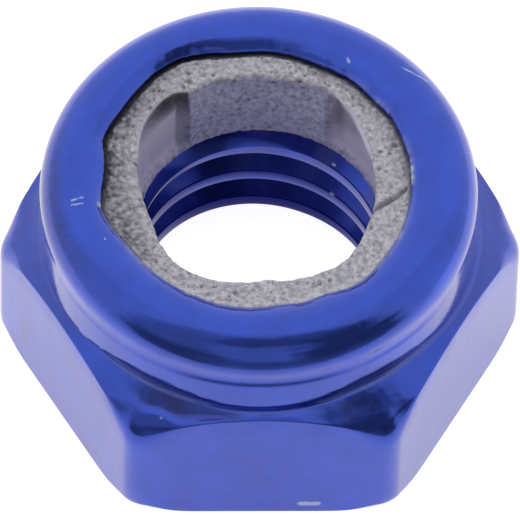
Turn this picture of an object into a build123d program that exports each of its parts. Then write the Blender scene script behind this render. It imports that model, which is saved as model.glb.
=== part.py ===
"""Nylon insert lock nut: a hexagon nut with a round collar rolled over a nylon ring.

Millimetres, +Z up. The origin is the centre of the bearing face, and the thread axis is Z.
Two of the hexagon's flats face +Y and -Y, and two of its corners point along +X and -X.
"""

from build123d import *
from math import cos, radians, sin, sqrt, tan
import os

# ---- driving dimensions -------------------------------------------------------------------

# hexagon
across_flats = 8.0  # spanner size
nut_height = 4.7  # bearing face to the top of the rolled lip
corner_round = 0.22  # radius down each of the six upright corners
bearing_dia = 8.2  # circle where the bottom chamfer meets the bearing face
chamfer_angle = 30.0  # of the top and bottom chamfers, from the horizontal
top_round = 0.7  # where the top chamfer runs over into the corners
bottom_round = 0.15  # where the bottom chamfer runs over into the corners

# threaded hole, plain at the thread's minor diameter
thread_minor_dia = 4.25
thread_depth = 0.375  # minor to major radius
countersink_angle = 90.0  # included angle, at both ends of the thread
countersink_margin = 0.15  # how much wider the mouth is than the thread's major radius

# collar that holds the insert
collar_height = 1.74  # shoulder of the hexagon to the top of the rolled lip
collar_wall = 0.5
neck_height = 0.37  # straight relief at the foot of the collar
neck_relief = 0.08  # how far the neck lies inside the collar's wall
neck_flare = 0.07  # height of the slope from the neck out to the wall
neck_root_round = 0.06
recess_depth = 1.95  # top of the rolled lip to the floor that the insert sits on
roll_inner_radius = 0.19  # bend radius inside the rolled wall
lip_wrap = 43.0  # how far the roll goes past its highest line, in degrees
lip_edge_round = 0.06

# nylon insert
insert_clearance = 0.025  # the insert's bore is this much outside the thread's minor radius
insert_ledge = 0.54  # width of the ring of nylon left bare inside the lip
insert_drop = 0.045  # the insert's top lies this far below the lip's edge
lip_grip = 0.2  # length of the lip's end face that bears on the nylon
edge_gap = 0.14  # open gap between the lip's edge and the top of the nylon
bore_edge_round = 0.12  # at the top of the insert's bore
crown_round = 0.08  # at the outer edge of the insert's top
foot_round = 0.15  # lead-in at the bottom of the insert's bore

# ---- sizes that follow from them ------------------------------------------------------------

minor_radius = thread_minor_dia / 2
major_radius = minor_radius + thread_depth
insert_bore_radius = minor_radius + insert_clearance

# the roll is an arc of the wall's own thickness about one centre
roll_outer_radius = roll_inner_radius + collar_wall
lip_edge_radius = insert_bore_radius + insert_ledge
roll_center_radius = lip_edge_radius + roll_outer_radius * sin(radians(lip_wrap))
roll_center_height = nut_height - roll_outer_radius
roll_sweep = 90 + lip_wrap
collar_radius = roll_center_radius + roll_outer_radius
recess_radius = roll_center_radius + roll_inner_radius
recess_floor = nut_height - recess_depth

shoulder_height = nut_height - collar_height
neck_radius = collar_radius - neck_relief
neck_top = shoulder_height + neck_height
wall_start = neck_top + neck_flare

# the bar is turned just as wide as the hexagon's sharp corners
bar_radius = across_flats / sqrt(3)
chamfer_slope = tan(radians(chamfer_angle))
top_chamfer_foot = shoulder_height - (bar_radius - neck_radius) * chamfer_slope
bottom_chamfer_top = (bar_radius - bearing_dia / 2) * chamfer_slope

countersink_slope = tan(radians(countersink_angle / 2))
mouth_radius = major_radius + countersink_margin
entry_depth = (mouth_radius - minor_radius) / countersink_slope
exit_depth = (major_radius - minor_radius) / countersink_slope


def on_roll(radius, degrees_past_top):
    """Point of the roll's section at a radius from its centre, measured inwards from its top."""
    angle = radians(degrees_past_top)
    return (
        roll_center_radius - radius * sin(angle),
        roll_center_height + radius * cos(angle),
    )


lip_outer_edge = on_roll(roll_outer_radius, lip_wrap)
lip_inner_edge = on_roll(roll_inner_radius, lip_wrap)
grip_end = on_roll(roll_inner_radius + lip_grip, lip_wrap)
insert_top = lip_outer_edge[1] - insert_drop
roll_center = (roll_center_radius, roll_center_height)

# ---- nut body -------------------------------------------------------------------------------

with BuildSketch(Plane.XY) as hexagon:
    RegularPolygon(across_flats / 2, 6, major_radius=False)
    fillet(hexagon.vertices(), radius=corner_round)

with BuildPart() as nut_body:
    with BuildSketch(Plane.XZ):
        with BuildLine():
            # bearing face, outside of the bar, chamfers, neck and collar wall
            FilletPolyline(
                (mouth_radius, 0),
                (bearing_dia / 2, 0),
                (bar_radius, bottom_chamfer_top),
                (bar_radius, top_chamfer_foot),
                (neck_radius, shoulder_height),
                (neck_radius, neck_top),
                (collar_radius, wall_start),
                (collar_radius, roll_center_height),
                radius=[0, bottom_round, top_round, neck_root_round, 0, 0],
            )
            # the rolled wall, its end face and the recess that the insert fills
            outer_roll = CenterArc(roll_center, roll_outer_radius, 0, roll_sweep)
            Line(outer_roll @ 1, lip_inner_edge)
            CenterArc(roll_center, roll_inner_radius, roll_sweep, -roll_sweep)
            # recess wall and floor, thread with a countersink at each end
            Polyline(
                (recess_radius, roll_center_height),
                (recess_radius, recess_floor),
                (major_radius, recess_floor),
                (minor_radius, recess_floor - exit_depth),
                (minor_radius, entry_depth),
                (mouth_radius, 0),
            )
        section = make_face()
        lip_corner = section.vertices().sort_by_distance((*lip_outer_edge, 0))[0]
        fillet(lip_corner, radius=lip_edge_round)
    revolve(axis=Axis.Z)

    # the flats are milled off the bar from the bearing face up to the shoulder
    with BuildSketch(Plane.XY):
        Circle(bar_radius + corner_round)
        add(hexagon.sketch, mode=Mode.SUBTRACT)
    extrude(amount=shoulder_height, mode=Mode.SUBTRACT)

# ---- nylon insert -----------------------------------------------------------------------------

with BuildPart() as nylon_insert:
    with BuildSketch(Plane.XZ):
        with BuildLine():
            # from the recess floor up the wall, round inside the roll and along the lip's end face
            Line((recess_radius, recess_floor), (recess_radius, roll_center_height))
            inner_roll = CenterArc(roll_center, roll_inner_radius, 0, roll_sweep)
            # bare crown, bore and foot
            FilletPolyline(
                inner_roll @ 1,
                grip_end,
                (lip_edge_radius - edge_gap, insert_top),
                (insert_bore_radius, insert_top),
                (insert_bore_radius, recess_floor),
                (recess_radius, recess_floor),
                radius=[0, crown_round, bore_edge_round, foot_round],
            )
        make_face()
    revolve(axis=Axis.Z)

# ---- labels and files ---------------------------------------------------------------------------

nut_body.part.label = "nut_body"
nylon_insert.part.label = "nylon_insert"

os.makedirs("parts", exist_ok=True)
export_step(nut_body.part, "parts/nut_body.step")
export_step(nylon_insert.part, "parts/nylon_insert.step")
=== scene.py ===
# %% [markdown]
# # A nylon insert lock nut
# A lock nut is a hexagon nut with a round collar. A ring of nylon sits in the collar, with a hole
# a little smaller than the bolt, and the collar's thin wall is rolled over the ring to keep it
# there. Two pieces are made below: the blue metal body and the nylon ring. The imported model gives
# their overall sizes, so everything is drawn in the same place as the construction model.

# %% Load the frame
from math import atan2, cos, degrees, hypot, pi, radians, sin, sqrt, tan

import bmesh
import bpy
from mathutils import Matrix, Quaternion, Vector, noise


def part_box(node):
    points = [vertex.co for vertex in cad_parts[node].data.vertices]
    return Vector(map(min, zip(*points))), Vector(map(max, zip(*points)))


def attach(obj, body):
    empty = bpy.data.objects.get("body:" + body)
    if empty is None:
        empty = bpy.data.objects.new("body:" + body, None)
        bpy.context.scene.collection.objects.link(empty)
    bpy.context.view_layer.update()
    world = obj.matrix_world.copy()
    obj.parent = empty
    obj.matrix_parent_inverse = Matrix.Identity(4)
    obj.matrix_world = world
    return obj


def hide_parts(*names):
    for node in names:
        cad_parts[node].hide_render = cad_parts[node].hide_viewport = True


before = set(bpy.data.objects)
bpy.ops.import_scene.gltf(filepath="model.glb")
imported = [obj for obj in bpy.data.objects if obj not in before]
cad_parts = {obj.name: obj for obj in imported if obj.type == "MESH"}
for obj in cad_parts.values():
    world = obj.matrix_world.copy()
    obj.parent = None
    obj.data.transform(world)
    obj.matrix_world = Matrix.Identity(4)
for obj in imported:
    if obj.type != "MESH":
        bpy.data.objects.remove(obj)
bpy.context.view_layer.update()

MM = 0.001  # one millimetre in metres
TURN = 2 * pi
print(len(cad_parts), "packed nodes")

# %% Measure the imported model
body_low, body_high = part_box("nut_body")
across_flats = round((body_high.y - body_low.y) / MM, 1)
nut_height = round((body_high.z - body_low.z) / MM, 1)
print("across flats", across_flats, "mm, height", nut_height, "mm")

# %% [markdown]
# ## Sizes of the nut
# These are the workshop sizes of an M5 lock nut, in millimetres. Heights count from the bearing
# face, which lies at zero, and radii count from the thread's axis. The few driving sizes come
# first, and the others follow from them, so that one change moves everything that depends on it.

# %% Sizes of the hexagon
flat_radius = across_flats / 2
corner_round = 0.42
bearing_radius = 4.2
chamfer_slope = tan(radians(30))
bottom_edge_round = 0.05
print("a flat stands", flat_radius, "mm from the axis")

# %% Sizes of the thread
minor_radius = 2.125
major_radius = 2.5
thread_pitch = 0.8
mouth_radius = 2.65
print("thread", 2 * major_radius, "x", thread_pitch, "mm")

# %% Sizes of the collar
collar_height = 1.74
collar_wall = 0.5
roll_inner_radius = 0.19
roll_outer_radius = roll_inner_radius + collar_wall
lip_wrap = 43.0  # degrees past the top of the roll
insert_bore_radius = 2.15
insert_ledge = 0.54  # width of the nylon's bare top
recess_depth = 1.95
recess_floor = nut_height - recess_depth

lip_edge_radius = insert_bore_radius + insert_ledge
roll_center_radius = lip_edge_radius + roll_outer_radius * sin(radians(lip_wrap))
roll_center_height = nut_height - roll_outer_radius
roll_center = (roll_center_radius, roll_center_height)
collar_radius = roll_center_radius + roll_outer_radius
recess_radius = roll_center_radius + roll_inner_radius
shoulder_height = nut_height - collar_height
print("collar radius", round(collar_radius, 3), "mm, recess radius", round(recess_radius, 3), "mm")

# %% [markdown]
# ## A lathe made of rings
# A turned part can be drawn as rings stacked along its outline. Each new ring is the last one
# extruded, with its vertices laid where the outline wants them. Unlike a plain spin, a ring may
# change its shape on the way up, so the same tool makes the round collar and the six flats, and
# their meeting line falls on a ring of its own. That keeps every face a clean four-sided one,
# which shades smoothly. More numbers can go with each point of a ring: they are kept on the mesh
# as named marks, for the finish to read later.

# %% Start a piece
SORT_MARGIN = 0.001  # radians, so that a vertex at angle zero doesn't sort last


def lay_ring(piece, angles, ring):
    """Put the selected ring's vertices at their (radius, height), one for each angle, in order."""
    mesh = bmesh.from_edit_mesh(piece.data)
    marks = mesh.verts.layers.float.values()
    rim = [v for v in mesh.verts if v.select]
    rim.sort(key=lambda v: (atan2(v.co.y, v.co.x) + SORT_MARGIN) % TURN)
    for vertex, angle, (radius, height, *kept) in zip(rim, angles, ring):
        vertex.co = (radius * cos(angle), radius * sin(angle), height)
        for mark, value in zip(marks, kept or [0.0] * len(marks)):
            vertex[mark] = value
    bmesh.update_edit_mesh(piece.data)


def start_piece(name, angles, ring, marks):
    """A first ring: a circle primitive with a vertex laid at (radius, height) for each angle."""
    bpy.ops.object.select_all(action="DESELECT")
    bpy.ops.mesh.primitive_circle_add(vertices=len(angles), radius=ring[0][0])
    piece = bpy.context.object
    piece.name = piece.data.name = name
    bpy.ops.object.mode_set(mode="EDIT")
    bpy.ops.mesh.select_all(action="SELECT")
    for mark in marks:
        bmesh.from_edit_mesh(piece.data).verts.layers.float.new(mark)
    lay_ring(piece, angles, ring)
    return piece


print("the vertices of a ring are counted from", -SORT_MARGIN, "radians")

# %% Grow and close a piece
WELD_DISTANCE = 0.0001  # mm


def add_ring(piece, angles, ring):
    """Extrude the last ring and lay the new one."""
    bpy.ops.mesh.extrude_edges_move()
    lay_ring(piece, angles, ring)


def round_ring(angles, point):
    """The same (radius, height) all the way round."""
    return [point] * len(angles)


def close_piece(piece):
    """Weld the last ring to the first, and turn every face outwards."""
    bpy.ops.mesh.select_all(action="SELECT")
    bpy.ops.mesh.remove_doubles(threshold=WELD_DISTANCE)
    bpy.ops.mesh.normals_make_consistent(inside=False)
    bpy.ops.object.mode_set(mode="OBJECT")
    print(piece.name, len(piece.data.vertices), "vertices")


print("points closer than", WELD_DISTANCE, "mm are welded")

# %% [markdown]
# ## Outline tools
# A toolmaker draws a section from straight runs, arcs and rounded corners, and so does this file.
# A Bevel modifier could round the corners afterwards, but it needs a weight on every edge and
# gives the same radius all along it. Here each radius may change round the nut. What changes round
# the nut is written as a table of (degrees, value) rows. 0 is to the right, 90 is the back, 180
# the left and 270 the front.

# %% Arcs and rounded corners
def arc(center, radius, first, last, steps):
    """Points on an arc of the outline, between two angles in degrees (0 outwards, 90 up)."""
    turns = [radians(first + (last - first) * i / steps) for i in range(steps + 1)]
    return [(center[0] + radius * cos(t), center[1] + radius * sin(t)) for t in turns]


def rounded(before, corner, after, radius, steps):
    """Points of the arc that rounds a corner of the outline between its two neighbours."""
    corner = Vector(corner)
    back = (Vector(before) - corner).normalized()
    ahead = (Vector(after) - corner).normalized()
    half = back.angle(ahead) / 2
    reach = radius / tan(half)
    center = corner + (back + ahead).normalized() * (radius / sin(half))
    start = corner + back * reach - center
    sweep = (corner + ahead * reach - center).angle_signed(start)
    points = []
    for i in range(steps + 1):
        angle = sweep * i / steps
        spoke = Vector((start.x * cos(angle) - start.y * sin(angle),
                        start.x * sin(angle) + start.y * cos(angle)))
        points.append(tuple(center + spoke))
    return points


print("a corner rounded in 4 steps has", len(rounded((0, 0), (1, 0), (1, 1), 0.2, 4)), "points")


# %% Smooth steps and tables
def smooth(value, low, high):
    """Rise smoothly from 0 at low to 1 at high (or fall, if low is the larger)."""
    share = min(max((value - low) / (high - low), 0), 1)
    return share * share * (3 - 2 * share)


def around(table, angle):
    """Read a table of (degrees, value), on a smooth curve through its rows all the way round."""
    turn = degrees(angle) % 360
    spots = [(table[-1][0] - 360, table[-1][1]), *table]
    spots += [(table[0][0] + 360, table[0][1]), (table[1][0] + 360, table[1][1])]
    i = max(k for k in range(1, len(spots) - 2) if spots[k][0] <= turn or k == 1)
    (t0, v0), (t1, v1), (t2, v2), (t3, v3) = spots[i - 1 : i + 3]
    span = t2 - t1
    share = (turn - t1) / span
    leave = (v2 - v0) / (t2 - t0) * span
    arrive = (v3 - v1) / (t3 - t1) * span
    square, cube = share**2, share**3
    return ((2 * cube - 3 * square + 1) * v1 + (cube - 2 * square + share) * leave
            + (3 * square - 2 * cube) * v2 + (cube - square) * arrive)


print("a smooth step is at", smooth(0.25, 0, 1), "when a straight one is at 0.25")

# %% [markdown]
# ## The hexagon
# The nut is turned from a bar, and then its six flats are milled. The corners between the flats
# are a little round, and both ends are turned to a chamfer, so each flat ends in a curve where it
# meets the chamfer. It could be made by cutting a cone off a six-sided prism with a Boolean, but
# that leaves long thin faces that shade badly. Instead, the nut is cut into many upright section
# planes, close together round each corner, and each plane's outline ends where the hexagon's side
# stands.

# %% Directions round the nut
corner_center = flat_radius - corner_round
flat_end = atan2(corner_center * tan(radians(30)), flat_radius)
FLAT_STEPS = 30
CORNER_STEPS = 6


def nut_directions():
    """Angles of the section planes: even along each flat, and close together at each corner."""
    half = [flat_end * i / FLAT_STEPS for i in range(FLAT_STEPS + 1)]
    for i in range(1, CORNER_STEPS + 1):
        turn = radians(30 * i / CORNER_STEPS)
        side = corner_center + corner_round * cos(turn)
        along = corner_center * tan(radians(30)) + corner_round * sin(turn)
        half.append(atan2(along, side))
    angles = []
    for flat in range(6):
        middle = radians(30 + 60 * flat)
        angles += [middle + turn for turn in half] + [middle - turn for turn in half[1:-1]]
    return sorted(angle % TURN for angle in angles)


nut_angles = nut_directions()
print(len(nut_angles), "directions round the nut")


# %% The hexagon's side
def hexagon_radius(angle):
    """Distance from the axis to the hexagon's rounded side."""
    off = abs(angle % radians(60) - radians(30))
    if off <= flat_end:
        return flat_radius / cos(off)
    to_corner = radians(30) - off
    center = corner_center / cos(radians(30))
    return center * cos(to_corner) + sqrt(corner_round**2 - (center * sin(to_corner)) ** 2)


print("across corners", round(2 * hexagon_radius(0), 2), "mm")

# %% [markdown]
# ## The chamfers and the foot of the collar
# The top chamfer slopes at 30 degrees, but rolling the collar pressed its front flatter, pulled
# the collar's foot in there and left a shallow hollow to the left of the front. It turns down in a
# round at the six corners, where nuts knock against each other in the tumbler. Sculpting could
# give such shapes, but a sculpted dent has no size that can be looked up, and a table has. Marks
# go with the points: the inner edge is paler where the dye has worn and where a highlight is
# painted, the left and right ends are duller with a painted sheen, and painted shade and dark
# reflections darken the hollow and the chamfer on both sides of the front.

# %% Tables of the top chamfer
FOOT = (  # radius of the collar's foot, in mm
    (0, 3.83), (60, 3.8), (120, 3.81), (180, 3.835), (195, 3.815), (206, 3.79), (217, 3.73),
    (228, 3.715), (240, 3.74), (250, 3.75), (262, 3.79), (270, 3.82), (278, 3.79), (287, 3.74),
    (296, 3.71), (306, 3.725), (318, 3.735), (331, 3.8), (342, 3.825),
)
SLOPES = (  # in degrees
    (0, 30), (60, 30), (120, 30), (180, 30), (225, 30), (238, 30), (250, 29), (260, 21),
    (270, 17), (279, 20), (287, 27), (300, 30), (325, 30),
)
DIPS = (  # how deep the hollow in the chamfer is, in mm
    (0, 0.01), (40, 0.0), (80, 0.02), (130, 0.0), (170, 0.015), (215, 0.0), (236, 0.02),
    (247, 0.045), (257, 0.02), (264, 0.0), (290, 0.0), (320, 0.0),
)
EDGE_WEAR_AND_HIGHLIGHT = (  # how pale the chamfer's inner edge is, from 0 to 1: partly worn dye, partly a painted highlight
    (0, 0.4), (60, 0.1), (120, 0.1), (170, 0.4), (195, 0.4), (215, 0.6), (245, 0.6),
    (262, 0.2), (280, 0.2), (300, 0.6), (330, 0.4),
)
INNER_EDGE = 0.07  # width in mm of the chamfer's inner edge, which is flatter than the rest
INNER_SLOPE = 20  # its slope in degrees, at the most
FRONT_RISE = 0.015  # how much higher the collar's foot stands at the front, in mm
print("foot of the collar", min(row[1] for row in FOOT), "to", max(row[1] for row in FOOT), "mm")


# %% Where things lie round the nut
def patchy(angle, seed, count):
    """A steady unevenness between 0 and 1 round the axis, with about so many patches."""
    place = Vector((cos(angle), sin(angle), seed)) * count / 6
    return min(max(0.5 + 0.9 * noise.noise(place), 0), 1)


def at_sides(angle, low, high):
    """1 towards the left and the right, 0 towards the front and the back."""
    return smooth(abs(abs(degrees(angle) % 360 - 180) - 90), low, high)


def from_front(angle):
    """Degrees to the front on the front half, and more than 90 everywhere else."""
    return abs(degrees(angle) % 360 - 270)


def from_corner(angle):
    """Degrees to the nearest corner of the hexagon."""
    return 30 - abs(degrees(angle) % 60 - 30)


print("a flat's middle is", round(from_corner(radians(30))), "degrees from a corner")


# %% Shape of the chamfers
BEARING_BLEND = 0.06  # half the width over which the bearing face turns into its chamfer


def chamfer_point(length, slope, angle):
    """Point on the top chamfer, at a length outwards from the collar's foot."""
    inner = min(length, INNER_EDGE)
    outer = length - inner
    flatter = min(slope, radians(INNER_SLOPE))
    rise = FRONT_RISE * smooth(from_front(angle), 24, 8)
    return (around(FOOT, angle) + inner * cos(flatter) + outer * cos(slope),
            shoulder_height + rise - inner * sin(flatter) - outer * sin(slope))


def edge_round(angle):
    """Radius of the chamfer's outer edge: crisp along the flats, blunt at the six corners."""
    crisp = 0.05 - 0.025 * smooth(from_front(angle), 22, 12)
    return crisp + 0.6 * smooth(from_corner(angle), 11, 1.5)


def bottom_round(angle):
    """Radius of the lower edge, in the same way."""
    return bottom_edge_round + 0.2 * smooth(from_corner(angle), 9, 1)


def bottom_height(radius):
    """Height of the underside: flat, then a smooth turn into the bottom chamfer."""
    past = radius - bearing_radius
    if past <= -BEARING_BLEND:
        return 0.0
    if past >= BEARING_BLEND:
        return past * chamfer_slope
    return chamfer_slope * (past + BEARING_BLEND) ** 2 / (4 * BEARING_BLEND)


print("edge rounding", round(edge_round(radians(90)), 3), "to", round(edge_round(0), 3), "mm")


# %% Marks on the chamfer
def side_sheen(angle):
    """How much duller and paler the chamfer is painted at its left and right ends, as a sheen."""
    return 0.5 * at_sides(angle, 50, 72)


def chamfer_marks(angle, out, wear_and_highlight):
    """Marks at a share outwards from 0 to 1: paler inner edge (wear and painted highlight), painted
    sheen at the sides, painted shade and dark reflections near the front.
    """
    turn = degrees(angle) % 360
    # painted shade and dark reflections: in the hollow, to the right of the front and in a streak
    hollow = smooth(turn, 232, 241) * smooth(turn, 259, 250) * smooth(out, 0.8, 0.5)
    shadow = 0.8 * smooth(turn, 286, 291) * smooth(turn, 303, 297) * smooth(out, 0, 0.25)
    streak = 0.85 * smooth(turn, 251, 256) * smooth(turn, 267, 262)
    streak *= smooth(out, 0.05, 0.3) * smooth(out, 1.0, 0.7)
    rubbed_and_highlit = 0.12 * smooth(from_front(angle), 24, 8) * smooth(out, 0.6, 0)
    if out == 0:
        rubbed_and_highlit = max(rubbed_and_highlit, 0.6 * wear_and_highlight)
    return rubbed_and_highlit, side_sheen(angle), max(hollow, shadow, streak)


print("the chamfer's left and right ends are", side_sheen(0), "dull_and_sheen")

# %% Rings up the side
SIDE_RINGS = 6
EDGE_SUPPORT = 0.03  # mm from a rounded edge to the first ring on the side


def side_section(side, low, high):
    """Points up the hexagon's side, close to the rounded edges at both ends."""
    heights = [low + EDGE_SUPPORT]
    heights += [low + (high - low) * i / SIDE_RINGS for i in range(1, SIDE_RINGS)]
    heights += [high - EDGE_SUPPORT]
    return [(side, height) for height in heights]


print(len(side_section(flat_radius, 0, shoulder_height)), "rings up the side")


# %% Section of the hexagon, direction by direction
CHAMFER_RINGS = 16
EDGE_STEPS = 6
UNDER_RINGS = (0.24, 0.16, 0.08)  # mm inwards from the side, on the bottom chamfer


def hexagon_section(angle):
    """Outline from the bearing face, round the bottom edge, up the side and in over the chamfer."""
    side = hexagon_radius(angle)
    under = [(side - step, bottom_height(side - step)) for step in UNDER_RINGS]
    low_corner = (side, bottom_height(side))
    slope = radians(around(SLOPES, angle))
    inner_out = INNER_EDGE * cos(min(slope, radians(INNER_SLOPE)))
    foot = around(FOOT, angle)
    length = INNER_EDGE + (side - foot - inner_out) / cos(slope)
    top_corner = chamfer_point(length, slope, angle)
    bottom = rounded(under[2], low_corner, top_corner, bottom_round(angle), EDGE_STEPS)
    top = rounded(low_corner, top_corner, chamfer_point(INNER_EDGE, slope, angle),
                  edge_round(angle), EDGE_STEPS)
    points = under[:2] + bottom + side_section(side, bottom[-1][1], top[0][1])
    points += [(*point, 0.0, side_sheen(angle) * i / EDGE_STEPS, 0.0)
               for i, point in enumerate(top)]
    start = INNER_EDGE + (top[-1][0] - foot - inner_out) / cos(slope)
    dip = around(DIPS, angle)
    # the inner edge is painted paler: partly worn dye, partly a painted highlight
    wear_and_highlight = around(EDGE_WEAR_AND_HIGHLIGHT, angle) * (0.55 + 0.45 * patchy(angle, 3, 60))
    for i in range(1, CHAMFER_RINGS + 1):
        out = 1 - i / CHAMFER_RINGS
        radius, height = chamfer_point(INNER_EDGE + (start - INNER_EDGE) * out, slope, angle)
        height -= dip * smooth(out, 0, 0.45) * smooth(out, 1, 0.55)
        points.append((radius, height, *chamfer_marks(angle, out, wear_and_highlight)))
    for share, wear in ((0.66, 1.0), (0.33, 0.8)):
        inner = chamfer_point(INNER_EDGE * share, slope, angle)
        points.append((*inner, wear_and_highlight * wear, 0.0, 0.0))
    return [(*point, 0.0, 0.0, 0.0)[:5] for point in points]


sections = [hexagon_section(angle) for angle in nut_angles]
hexagon_rings = [list(ring) for ring in zip(*sections)]
print(len(hexagon_rings), "rings for the hexagon")

# %% [markdown]
# ## The rolled lip
# The collar's thin wall was pressed over the nylon ring with a roller. Metal that is pushed that
# far doesn't end in a true circle, so the lip's edge wanders in and out and carries a few burrs.
# The wandering fades out over the roll, because its crown is still as round as the lathe left it.
# It could be done with a Displace modifier, but a table puts each bulge where it belongs.

# %% How the rolled lip wanders
LIP_WANDER = (  # distance outwards in mm
    (0, -0.05), (12, -0.055), (20, -0.08), (30, -0.065), (40, -0.105), (50, -0.07), (62, -0.09),
    (74, -0.06), (84, -0.02), (97, -0.02), (104, 0.03), (118, 0.16), (128, 0.155), (140, 0.1),
    (150, 0.085), (163, 0.12), (170, 0.02), (178, -0.01), (186, 0.05), (194, 0.11), (202, 0.055),
    (212, -0.015), (240, 0), (262, 0.02), (277, -0.04), (286, -0.015), (295, -0.035), (303, 0.04),
    (311, 0.065), (320, 0.015), (332, -0.01), (346, -0.04),
)


def lip_wander(angle):
    """Distance of the lip's edge outwards from its even circle, with small nicks."""
    around_axis = Vector((cos(angle), sin(angle), 2.7))
    nicks = 0.013 * noise.noise(around_axis * 20) + 0.006 * noise.noise(around_axis * 47)
    return around(LIP_WANDER, angle) + nicks


def lip_share(point):
    """How much of the wandering a point of the roll takes: none on the crown, all at the edge."""
    turn = degrees(atan2(point[1] - roll_center_height, point[0] - roll_center_radius))
    return smooth(turn, 88, 88 + lip_wrap + 6)


print("the lip moves out by up to", round(max(lip_wander(a) for a in nut_angles), 3), "mm")

# %% Burrs on the lip
BURRS = ((54, 42, 0.55), (41, 29, 0.8), (20, -6, 1.0))  # from and to, in degrees, and how raised
BURR_RISE = 0.03  # mm
BURR_LEAN = 0.02  # mm


def burr(angle):
    """How much of a burr the lip's edge carries in a direction, from 0 to 1."""
    turn = (degrees(angle) + 90) % 360 - 90
    raised = sum(size * smooth(turn, start, start - 3) * smooth(turn, end, end + 3)
                 for start, end, size in BURRS)
    return raised * (0.35 + 0.65 * patchy(angle, 8, 170))


print(len(BURRS), "burrs")

# %% [markdown]
# ## The wall of the collar
# Below the roll the wall is almost upright. The roller left three traces on it: the collar stands
# a few hundredths of a millimetre off the hexagon's middle, the wall leans in a little towards the
# top, and a faint line runs round the front where the roller stopped. At its foot the wall is
# drawn in to a shallow groove, which is higher on some sides than on others. A reflection shows
# each of these far more than its depth suggests, so they are shaped in the rings and not in a bump
# map.

# %% Tables of the wall
GROOVE_TOP = (  # height in mm at which the groove has run out
    (0, 3.03), (60, 3.08), (120, 3.08), (180, 3.03), (205, 3.04), (220, 3.13), (232, 3.3),
    (246, 3.28), (258, 3.12), (270, 3.085), (284, 3.12), (297, 3.32), (312, 3.3), (326, 3.12),
    (342, 3.03),
)
LINE = (  # how deep the roller's line is, from 0 to 1
    (0, 0.0), (200, 0.0), (216, 0.3), (232, 0.2), (244, 0.4), (252, 1.0), (288, 1.0), (296, 0.3),
    (302, 0.7), (316, 0.6), (328, 0.0),
)
WALL_LEAN = 0.028  # mm inwards at the top of the wall
WALL_FOOT = 2.97  # mm, height at which the wall starts to lean
LEAN_HEIGHT = 0.9  # mm from there to where it has its whole lean
LINE_DEPTH = 0.024  # mm at its deepest
LINE_HEIGHT = 3.82  # mm
COLLAR_OFFSET = -0.045  # the collar's middle, in mm to the left of the hexagon's


def wall_inset(height, angle):
    """How far the wall stands inside the collar's outer radius."""
    lean = WALL_LEAN * min(max((height - WALL_FOOT) / LEAN_HEIGHT, 0), 1)
    line = LINE_DEPTH * smooth(height, LINE_HEIGHT - 0.13, LINE_HEIGHT)
    line *= smooth(height, LINE_HEIGHT + 0.42, LINE_HEIGHT)
    return lean * smooth(height, 4.5, 3.95) + line * around(LINE, angle)


def off_middle(height):
    """The collar's offset at a height: none at the hexagon, all of it from the neck up."""
    return COLLAR_OFFSET * smooth(height, shoulder_height - 0.1, shoulder_height + 0.12)


def shift_piece_top(piece):
    """Slide the part above the shoulder sideways by the collar's offset."""
    for vertex in piece.data.vertices:
        vertex.co.x += off_middle(vertex.co.z)


print("the collar stands", abs(COLLAR_OFFSET), "mm off the middle")

# %% Outline of the wall and the roll
ROLL_STEPS = 44
LIP_EDGE_ROUND = 0.045
wall_heights = [2.975, 3.0, 3.05, 3.1, 3.16, 3.23, 3.31, 3.4, 3.5, 3.6, 3.66]
wall_heights += [LINE_HEIGHT - 0.13 + 0.02 * i for i in range(15)]
wall_outline = [(collar_radius, height) for height in wall_heights]
roll_first = len(wall_outline)
wall_outline += arc(roll_center, roll_outer_radius, 0, 90 + lip_wrap - 4, ROLL_STEPS)
roll_last = len(wall_outline)

end_turn = radians(90 + lip_wrap)
end_spoke = (cos(end_turn), sin(end_turn))
lip_outer = tuple(c + roll_outer_radius * s for c, s in zip(roll_center, end_spoke))
lip_inner = tuple(c + roll_inner_radius * s for c, s in zip(roll_center, end_spoke))
tangent = (lip_outer[0] + end_spoke[1], lip_outer[1] - end_spoke[0])
wall_outline += rounded(tangent, lip_outer, lip_inner, LIP_EDGE_ROUND, 5)
wall_outline += [tuple(o + (i - o) * 0.6 for o, i in zip(lip_outer, lip_inner)), lip_inner]
wall_outline += arc(roll_center, roll_inner_radius, 90 + lip_wrap, 0, 8)[1:]
print(len(wall_outline), "rings for the collar")

# %% Marks on the collar
SCUFFED_ROLL = (  # where the outside of the roll is scuffed, from 0 to 1
    (0, 0.1), (30, 0.1), (90, 0.0), (140, 0.1), (165, 0.5), (182, 0.8), (200, 0.8), (212, 0.4),
    (225, 0.0), (330, 0.0), (345, 0.2),
)


def wall_marks(angle, height, top):
    """Marks on the wall, whose groove ends at the height top: a painted sheen towards the left and
    right, and a duller, greyer groove, least at the front.
    """
    wear_and_highlight = 0.22 * at_sides(angle, 38, 70) + 0.3 * at_sides(angle, 68, 84)
    wear_and_highlight *= smooth(height, 3.0, 3.1) * smooth(height, 3.98, 3.8)
    dull_and_sheen = 1 - smooth(height, top - 0.08, top + 0.14)
    dull_and_sheen *= 0.5 + 0.5 * smooth(top, 3.03, 3.12)
    dull_and_sheen *= 0.25 + 0.75 * smooth(from_front(angle), 8, 24)
    return wear_and_highlight, dull_and_sheen * (1 - wear_and_highlight)


def lip_wear_and_highlight(angle, index, raised):
    """How pale the lip's edge is: bare on its burrs and in spots, and all along the front a paler
    band, partly wear and partly painted light.
    """
    front = smooth(from_front(angle), 95, 60) * smooth(index, roll_last - 5, roll_last - 2)
    spots = 0.12 * patchy(angle, 5, 90) * smooth(index, roll_last - 3.6, roll_last - 1.2)
    return max(raised, (0.42 + 0.3 * patchy(angle, 4, 60)) * front, spots)


def roll_stain(angle, height):
    """How scuffed and stained the outside of the roll is."""
    return around(SCUFFED_ROLL, angle) * smooth(height, 4.1, 4.3) * smooth(height, 4.67, 4.56)


print("at the left the roll is stained by", round(roll_stain(pi, 4.45), 2))

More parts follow.
